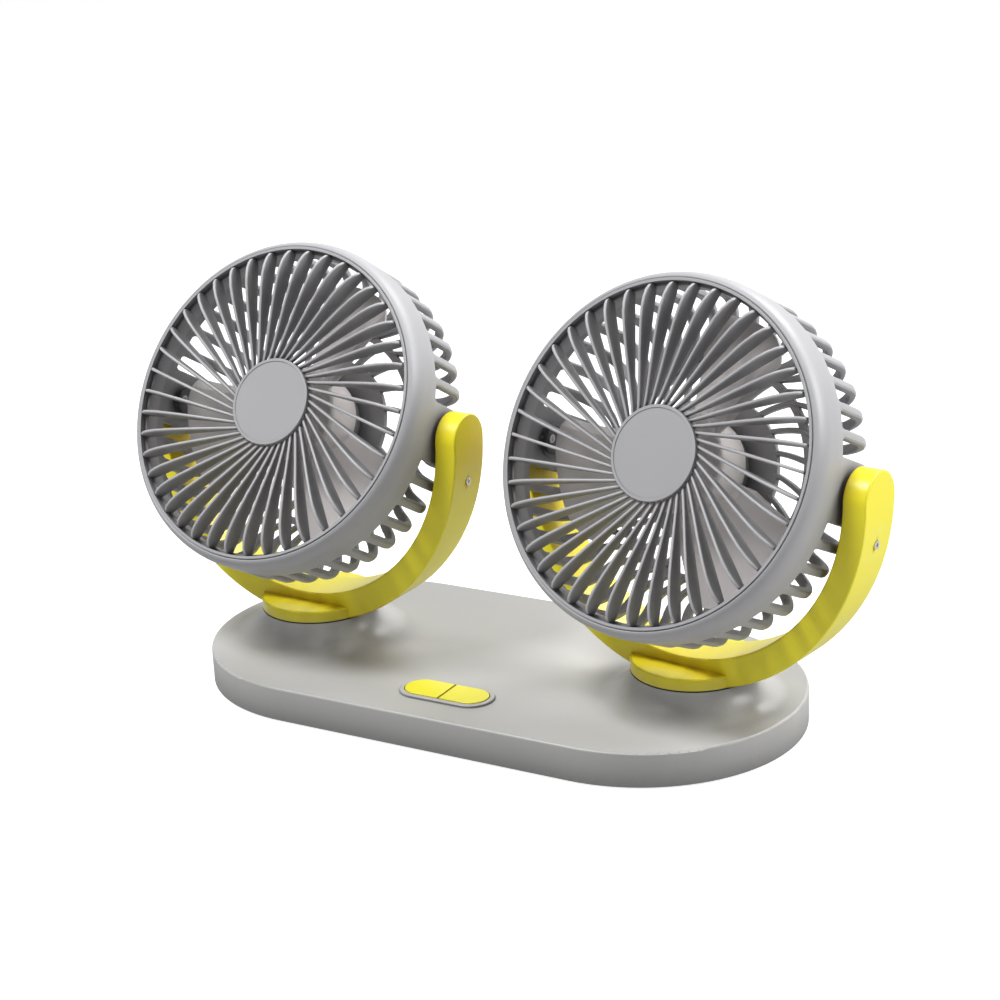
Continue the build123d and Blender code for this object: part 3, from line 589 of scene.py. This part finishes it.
@dataclass(frozen=True)
class GrilleSizes:
    """Sizes of the front grille, in millimetres from the pivot axis."""

    ribs: int = 42
    phase: float = 2.3
    lean: float = 8.8
    thickness: float = 1.2
    back: float = 22.8
    back_share: float = 0.8
    nose_steps: int = 6
    edge: tuple[tuple[float, float], ...] = (
        (13.6, 24.2), (20.0, 25.3), (28.0, 26.9), (36.0, 28.6), (44.0, 29.9), (49.5, 30.4),
        (53.5, 30.0), (56.5, 28.9), (58.2, 27.5), (58.9, 26.2))
    hub: tuple[tuple[float, float], ...] = (
        (2.1, 21.5), (16.7, 21.5), (16.9, 21.7), (16.9, 24.5), (16.7, 24.7), (2.1, 24.7))
    hoop: tuple[tuple[float, float], ...] = (
        (58.8, 17.6), (60.1, 17.6), (60.1, 24.0), (58.8, 24.0))


@dataclass
class Grille:
    """The front grille of a head: curved ribs between a hub and a hoop."""

    side: Side
    palette: Palette
    repeat: RingRepeat
    sizes: GrilleSizes = GrilleSizes()

    def rib(self) -> bpy.types.Mesh:
        """Return one rib: a leaf-shaped plate with a rounded front edge."""
        half = self.sizes.thickness / 2
        sections = []
        for x, front in self.sizes.edge:
            nose = arc((0.0, front - half), half, 180, 0, self.sizes.nose_steps)
            foot = half * self.sizes.back_share
            ring = [(-foot, self.sizes.back), *nose, (foot, self.sizes.back)]
            sections.append([Vector((x, self.sizes.lean + y, z)) for y, z in ring])
        return loft(sections)

    def build(self) -> None:
        """Build the grille and put it in place of the plain solid."""
        name = self.side.value
        material = self.palette.grille
        phase = math.radians(self.sizes.phase)
        ribs = self.repeat.apply(self.rib(), self.sizes.ribs, phase, material)
        mesh = gather([ribs, lathe(list(self.sizes.hub)), lathe(list(self.sizes.hoop))])
        mesh.transform(PLACINGS[self.side].head())
        settle(f"{name}_grille", mesh, material, f"{name}_head",
               (f"{name}_front_grille",))


@dataclass(frozen=True)
class CageSizes:
    """Sizes of the slotted rear cage, in millimetres from the pivot axis."""

    bars: int = 42
    bar_width: float = 3.7
    bar_depth: float = 3.2
    bar_taper: float = 0.16
    bar_points: int = 12
    bar_roundness: float = 0.75
    slot_front: float = 11.1
    slot_radius: float = 3.0
    slot_steps: int = 5
    outer: float = 64.2
    corner: float = 11.5
    corner_steps: int = 9
    back: float = -15.5
    wall: float = 2.6
    edge: float = 0.4
    swirl: float = 26.0
    swirl_steps: int = 6
    inner_bars: int = 21
    inner_width: float = 2.6
    inner_taper: float = 0.1
    inner_swirl: float = 10.8333
    inner_steps: int = 5
    ring: float = 39.0
    ring_half: float = 1.4
    seat: float = 26.0
    seat_lip: float = 1.3
    shaft_bore: float = 2.0
    cup_inner: float = 14.1
    cup_outer: float = 16.1
    cup_height: float = 7.1
    rim_inner: float = 61.0
    rim_front: float = 26.0
    rim_centre: tuple[float, float] = (61.2, 19.2)
    rim_reach: tuple[float, float] = (3.1, 7.0)
    rim_start: float = 84.0
    rim_steps: int = 9
    band_outer: float = 64.3
    band_back: float = 14.0
    band_lap: float = 0.9
    band_edge: float = 0.2
    band_chamfer: float = 2.4
    pad_angle: float = 9.6
    pad_steps: int = 12
    pad_lap: float = 1.0
    pad_foot_outer: float = 1.7
    pad_foot_inner: float = 4.6
    boss_bore: float = 4.1
    boss_radius: float = 6.4
    boss_root: float = 60.2
    boss_reach: float = 65.2
    boss_steps: int = 48


@dataclass
class Cage:
    """The rear cage of a head: a smooth shell band, round bars and the back."""

    side: Side
    palette: Palette
    repeat: RingRepeat
    sizes: CageSizes = CageSizes()

    def path(self) -> list[tuple[float, float, float, float]]:
        """Return an outer bar's line as radius, depth, turn in degrees and width."""
        s = self.sizes
        mid = s.bar_depth / 2
        pitch = math.tau * s.outer / s.bars
        line = []
        for k in range(s.slot_steps + 1):
            angle = math.radians(90 - 90 * k / s.slot_steps)
            z = s.slot_front - s.slot_radius + s.slot_radius * math.sin(angle)
            line.append((s.outer - mid, z, 0.0, pitch - 2 * s.slot_radius * math.cos(angle)))
        start = s.back + s.corner
        line.append((s.outer - mid, (s.slot_front + start) / 2, 0.0, s.bar_width))
        centre = (s.outer - s.corner, start)
        for radius, z in arc(centre, s.corner - mid, 0, -90, s.corner_steps):
            line.append((radius, z, 0.0, s.bar_width))
        flat = s.outer - s.corner
        for k in range(1, s.swirl_steps + 1):
            share = k / s.swirl_steps
            line.append((flat - (flat - s.ring) * share, s.back + mid, s.swirl * share ** 2 / 2,
                         s.bar_width - s.bar_taper * k))
        return line

    def inner_path(self) -> list[tuple[float, float, float, float]]:
        """Return an inner bar's line, from the middle ring to the motor seat."""
        s = self.sizes
        line = []
        for k in range(s.inner_steps + 1):
            share = k / s.inner_steps
            turn = s.swirl / 2 + s.inner_swirl * share
            line.append((s.ring + (s.seat - s.ring) * share, s.back + s.wall / 2, turn,
                         s.inner_width - s.inner_taper * k))
        return line

    def bar(self, line: list[tuple[float, float, float, float]]) -> bpy.types.Mesh:
        """Skin one bar with a rounded section.

        Args:
            line: The bar's stations, each a radius, a depth, a turn and a width.

        Returns:
            The bar's mesh.
        """
        s = self.sizes
        sections = []
        for k, (radius, z, turn, width) in enumerate(line):
            before, after = line[max(k - 1, 0)], line[min(k + 1, len(line) - 1)]
            run = Vector((after[0] - before[0], after[1] - before[1])).normalized()
            normal = Vector((-run.y, run.x))
            ring = []
            for j in range(s.bar_points):
                angle = math.tau * j / s.bar_points
                across, out = math.cos(angle), math.sin(angle)
                across = math.copysign(abs(across) ** s.bar_roundness, across) * width / 2
                out = math.copysign(abs(out) ** s.bar_roundness, out) * s.bar_depth / 2
                point = Vector((radius + normal.x * out, across, z + normal.y * out))
                ring.append(Matrix.Rotation(math.radians(turn), 3, "Z") @ point)
            sections.append(ring)
        return loft(sections)

    def pad(self, turn: float) -> bpy.types.Mesh:
        """Return the plain plate that bridges the slots round a pivot."""
        s = self.sizes
        inner = s.outer - s.bar_depth
        front = s.slot_front + s.pad_lap
        start = s.back + s.corner
        foot = s.back + s.corner / 2
        profile = ((inner, front), (s.outer, front), (s.outer, start),
                   (s.outer - s.pad_foot_outer, foot), (s.outer - s.pad_foot_inner, foot),
                   (inner, start))
        sections = []
        for k in range(s.pad_steps + 1):
            angle = math.radians(turn + s.pad_angle * (2 * k / s.pad_steps - 1))
            sections.append([Vector((radius * math.cos(angle), radius * math.sin(angle), z))
                             for radius, z in profile])
        return loft(sections)

    def boss(self, turn: float) -> bpy.types.Mesh:
        """Return the short tube that meets the yoke's arm at a pivot."""
        s = self.sizes
        length = s.boss_reach - s.boss_root
        tube = lathe([(s.boss_bore, 0.0), (s.boss_radius, 0.0), (s.boss_radius, length - s.edge),
                      (s.boss_radius - s.edge, length), (s.boss_bore, length)], s.boss_steps)
        tube.transform(Matrix.Rotation(math.radians(turn), 4, "Z")
                       @ Matrix.Translation((s.boss_root, 0, 0))
                       @ Matrix.Rotation(math.pi / 2, 4, "Y"))
        return tube

    def shell(self) -> bpy.types.Mesh:
        """Return the smooth band that carries the front ring."""
        s = self.sizes
        rim = [(s.rim_centre[0] + s.rim_reach[0] * x, s.rim_centre[1] + s.rim_reach[1] * y)
               for x, y in arc((0.0, 0.0), 1.0, s.rim_start, 0, s.rim_steps)]
        low = s.slot_front - s.band_lap
        return lathe([(s.rim_inner, s.rim_front), *rim, (s.band_outer, s.band_back),
                      (s.outer, s.slot_front - s.band_edge), (s.outer - s.band_lap, low),
                      (s.outer - s.band_chamfer, low), (s.outer - s.bar_depth, s.slot_front),
                      (s.rim_inner, s.band_back)])

    def middle_ring(self) -> bpy.types.Mesh:
        """Return the ring that the outer and the inner bars of the back share."""
        s = self.sizes
        inside, outside = s.ring - s.ring_half, s.ring + s.ring_half
        return lathe([(inside, s.back + s.edge), (inside + s.edge, s.back),
                      (outside - s.edge, s.back), (outside, s.back + s.edge),
                      (outside, s.back + s.wall), (inside, s.back + s.wall)])

    def motor_seat(self) -> bpy.types.Mesh:
        """Return the disc in the middle of the back with the motor's cup."""
        s = self.sizes
        rim = s.seat + s.seat_lip
        floor, top = s.back + s.wall, s.back + s.cup_height
        return lathe([(s.shaft_bore, s.back), (rim - s.edge, s.back), (rim, s.back + s.edge),
                      (rim, floor), (s.cup_outer, floor), (s.cup_outer, top),
                      (s.cup_inner, top), (s.cup_inner, floor), (s.shaft_bore, floor)])

    def build(self) -> None:
        """Build the cage and put it in place of the plain solid."""
        s = self.sizes
        name = self.side.value
        material = self.palette.shell
        mesh = gather([self.shell(), self.middle_ring(), self.motor_seat(),
                       self.pad(0.0), self.boss(0.0), self.pad(180.0), self.boss(180.0),
                       self.repeat.apply(self.bar(self.path()), s.bars, 0.0, material),
                       self.repeat.apply(self.bar(self.inner_path()), s.inner_bars, 0.0,
                                         material)])
        mesh.transform(PLACINGS[self.side].head())
        settle(f"{name}_cage", mesh, material, f"{name}_head",
               (f"{name}_rear_cage",))


@dataclass
class BaseUnit:
    """The flat base with its buttons, feet and electronics."""

    palette: Palette

    def build(self) -> None:
        """Dress every piece of the base."""
        smooth_copy("base_housing", self.palette.base, "base")
        smooth_copy("button_bezel", self.palette.base, "base")
        smooth_copy("button_left", self.palette.button, "button_left")
        smooth_copy("button_right", self.palette.button, "button_right")
        paints = {
            "base_cover": self.palette.base,
            "rubber_feet": self.palette.rubber,
            "base_screws": self.palette.steel,
            "board_screws": self.palette.steel,
            "control_board": self.palette.board,
            "tact_switches": self.palette.dark,
            "power_inlet": self.palette.steel,
        }
        for node, material in paints.items():
            dress(node, material)


@dataclass
class Swivel:
    """One yoke with its turret and swivel fittings."""

    side: Side
    palette: Palette

    def build(self) -> None:
        """Dress every piece of the yoke."""
        name = self.side.value
        smooth_copy(f"{name}_yoke", self.palette.yellow, f"{name}_yoke")
        paints = {
            "arm_screws": self.palette.steel,
            "thrust_washer": self.palette.dark,
            "swivel_retainer": self.palette.dark,
            "retainer_screws": self.palette.steel,
        }
        for node, material in paints.items():
            dress(f"{name}_{node}", material)


@dataclass
class FanHead:
    """One round head with its grille, cage, motor and impeller."""

    side: Side
    palette: Palette
    repeat: RingRepeat

    def build(self) -> None:
        """Build the grille and the cage, and dress the other pieces of the head."""
        name = self.side.value
        Grille(self.side, self.palette, self.repeat).build()
        Cage(self.side, self.palette, self.repeat).build()
        for node in ("front_ring", "hub_cap", "motor_cap"):
            smooth_copy(f"{name}_{node}", self.palette.shell, f"{name}_head")
        smooth_copy(f"{name}_impeller", self.palette.blade, f"{name}_spin")
        paints = {
            "pivot_hubs": self.palette.dark,
            "pivot_screws": self.palette.steel,
            "motor": self.palette.motor,
            "motor_screws": self.palette.steel,
            "motor_shaft": self.palette.steel,
            "impeller_nut": self.palette.steel,
        }
        for node, material in paints.items():
            dress(f"{name}_{node}", material)


@dataclass
class Studio:
    """The pale room, its lamps and the camera."""

    azimuth: float = math.radians(30.4)
    elevation: float = math.radians(18.3)
    roll: float = math.radians(-2.6)
    distance: float = 0.769
    target: tuple[float, float, float] = (0.0036, 0.0, 0.0772)
    lens: float = 74.5
    floor_reach: float = 6.0
    floor_grey: float = 0.45
    floor_glow: float = 0.85
    fill: float = 0.2
    backdrop: float = 1.0
    lamps: tuple[tuple[str, tuple[float, float, float], float, float], ...] = (
        ("key", (-0.55, -0.65, 1.6), 0.7, 29.0),
        ("side", (1.3, 0.5, 0.95), 0.9, 21.0),
        ("back", (0.35, 1.0, 1.3), 0.9, 18.0),
    )

    def floor(self) -> None:
        """Lay the floor and its backdrop colour."""
        mesh = bpy.data.meshes.new("floor")
        reach = self.floor_reach
        corners = [(-reach, -reach, 0), (reach, -reach, 0), (reach, reach, 0), (-reach, reach, 0)]
        mesh.from_pydata(corners, [], [(0, 1, 2, 3)])
        plane = bpy.data.objects.new("floor", mesh)
        bpy.context.scene.collection.objects.link(plane)
        material = bpy.data.materials.new("floor_paper")
        material.use_nodes = True
        tree = material.node_tree
        shader = tree.nodes["Principled BSDF"]
        shader.inputs["Roughness"].default_value = 0.9
        shader.inputs["Specular IOR Level"].default_value = 0.1
        shader.inputs["Base Color"].default_value = (*[self.floor_grey] * 3, 1)
        path = add_node(tree, "ShaderNodeLightPath")
        glow = add_node(tree, "ShaderNodeMath", operation="MULTIPLY")
        link(tree, path.outputs["Is Camera Ray"], glow.inputs[0])
        glow.inputs[1].default_value = self.floor_glow
        link(tree, glow.outputs[0], shader.inputs["Emission Strength"])
        shader.inputs["Emission Color"].default_value = (1, 1, 1, 1)
        mesh.materials.append(material)

    def light(self) -> None:
        """Hang the soft lamps and light the room."""
        centre = Vector(self.target)
        for name, place, size, power in self.lamps:
            lamp = bpy.data.lights.new(name, "AREA")
            lamp.shape = "DISK"
            lamp.size = size
            lamp.energy = power
            holder = bpy.data.objects.new(name, lamp)
            holder.location = place
            holder.rotation_euler = (centre - Vector(place)).to_track_quat("-Z", "Y").to_euler()
            bpy.context.scene.collection.objects.link(holder)
        world = bpy.data.worlds.new("room")
        world.use_nodes = True
        bpy.context.scene.world = world
        tree = world.node_tree
        room = tree.nodes["Background"]
        path = add_node(tree, "ShaderNodeLightPath")
        seen = add_node(tree, "ShaderNodeMath", operation="MAXIMUM")
        link(tree, path.outputs["Is Camera Ray"], seen.inputs[0])
        link(tree, path.outputs["Is Glossy Ray"], seen.inputs[1])
        level = add_node(tree, "ShaderNodeMapRange")
        level.inputs["To Min"].default_value = self.fill
        level.inputs["To Max"].default_value = self.backdrop
        link(tree, seen.outputs[0], level.inputs["Value"])
        link(tree, level.outputs["Result"], room.inputs["Strength"])
        room.inputs["Color"].default_value = (1, 1, 1, 1)

    def camera(self) -> None:
        """Stand the camera where the photograph was taken from."""
        level = math.cos(self.elevation)
        back = Vector((math.sin(self.azimuth) * level, -math.cos(self.azimuth) * level,
                       math.sin(self.elevation)))
        right = (-back).cross(Vector((0, 0, 1))).normalized()
        up = right.cross(-back)
        side = right * math.cos(self.roll) + up * math.sin(self.roll)
        top = up * math.cos(self.roll) - right * math.sin(self.roll)
        data = bpy.data.cameras.new("camera")
        data.lens = self.lens
        data.sensor_width = LENS_SENSOR
        data.clip_start = 0.01
        camera = bpy.data.objects.new("camera", data)
        stand = Matrix.Translation(Vector(self.target) + back * self.distance)
        camera.matrix_world = stand @ Matrix((side, top, back)).transposed().to_4x4()
        bpy.context.scene.collection.objects.link(camera)
        bpy.context.scene.camera = camera

    def build(self) -> None:
        """Set up floor, lamps, camera and view."""
        self.floor()
        self.light()
        self.camera()
        bpy.context.scene.view_settings.view_transform = "Standard"


def main() -> None:
    """Build the fan's looks piece by piece."""
    logging.basicConfig(level=logging.INFO, format="%(name)s: %(message)s")
    palette = Palette()
    repeat = RingRepeat()
    BaseUnit(palette).build()
    for side in Side:
        Swivel(side, palette).build()
        FanHead(side, palette, repeat).build()
    Studio().build()


if __name__ == "__main__":
    main()
